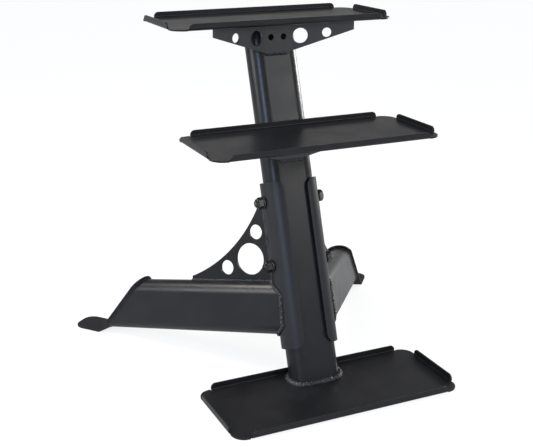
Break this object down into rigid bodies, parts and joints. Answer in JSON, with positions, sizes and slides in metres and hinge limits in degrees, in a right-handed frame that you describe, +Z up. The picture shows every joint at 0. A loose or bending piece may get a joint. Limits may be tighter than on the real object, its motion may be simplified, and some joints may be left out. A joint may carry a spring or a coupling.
{
  "type": "tiered weight tray rack",
  "caption": "Leaning flat-oval post with three shallow folded trays, propped by a bolted collar with two splayed legs and gussets.",
  "frame": {"origin": "middle of the base tray's underside, on the floor", "axes": "+X to the right along the trays, +Y to the rear towards the legs, +Z up"},
  "size_m": [0.8478, 0.7389, 0.8055],
  "materials": {
    "powder_coat": "satin black powder coat",
    "black_zinc": "black zinc plate"
  },
  "bodies": {
    "root": {"base_tray": "powder_coat", "middle_tray": "powder_coat", "top_tray": "powder_coat", "post": "powder_coat", "post_weld": "powder_coat", "middle_bracket": "powder_coat", "top_bracket": "powder_coat", "middle_bracket_weld": "powder_coat", "top_bracket_weld": "powder_coat", "collar": "powder_coat", "left_leg": "powder_coat", "left_gusset": "powder_coat", "left_gusset_weld": "powder_coat", "left_foot_plate": "powder_coat", "right_leg": "powder_coat", "right_gusset": "powder_coat", "right_gusset_weld": "powder_coat", "right_foot_plate": "powder_coat", "clamp_bolts": "black_zinc", "clamp_nuts": "black_zinc", "clamp_washers": "black_zinc"}
  },
  "joints": []
}
